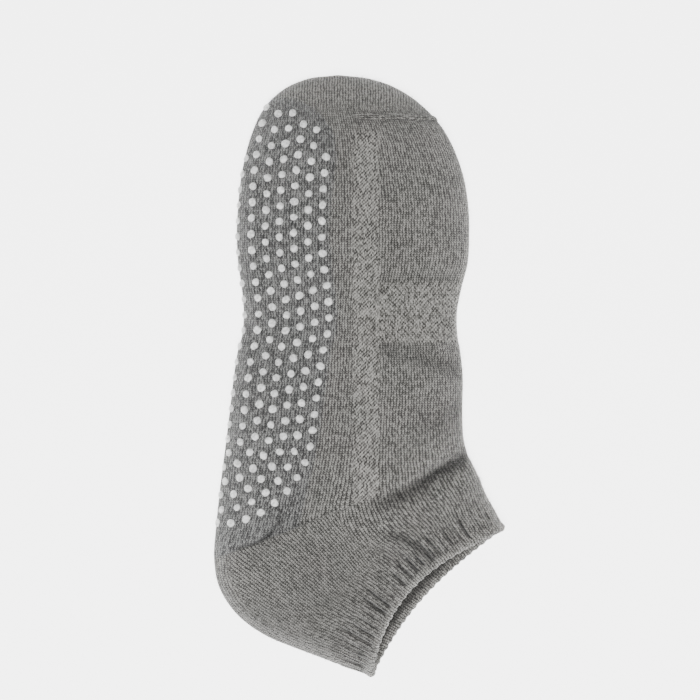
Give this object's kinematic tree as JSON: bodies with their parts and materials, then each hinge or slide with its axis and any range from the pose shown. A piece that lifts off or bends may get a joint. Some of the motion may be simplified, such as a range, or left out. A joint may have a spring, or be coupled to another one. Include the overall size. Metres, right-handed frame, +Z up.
{
  "type": "slipper sock",
  "caption": "Low-cut knitted slipper sock lying flat on its side, with rubbery grip dots over the sole, a turned heel and a ribbed welt cuff open at the collar.",
  "frame": {"origin": "middle of the sock's footprint, on the floor it lies on", "axes": "+X from the fold of the sole towards the instep and the collar's front, +Y from heel to toe, +Z up through the two walls"},
  "size_m": [0.1274, 0.2644, 0.0214],
  "materials": {
    "upper_knit": "heathered light grey plain knit, soft and matt",
    "sole_plush": "denser, slightly cooler grey knit with plush loops inside",
    "heel_knit": "heathered grey knit, turned at the gore",
    "cuff_rib": "heathered grey double welt with soft ribs",
    "seam_thread": "linked loops of the same grey yarn",
    "grip_dots": "printed off-white soft dots, satin"
  },
  "bodies": {
    "root": {"upper": "upper_knit", "sole": "sole_plush", "heel_pocket": "heel_knit", "cuff": "cuff_rib", "toe_seam": "seam_thread"}
  },
  "joints": []
}
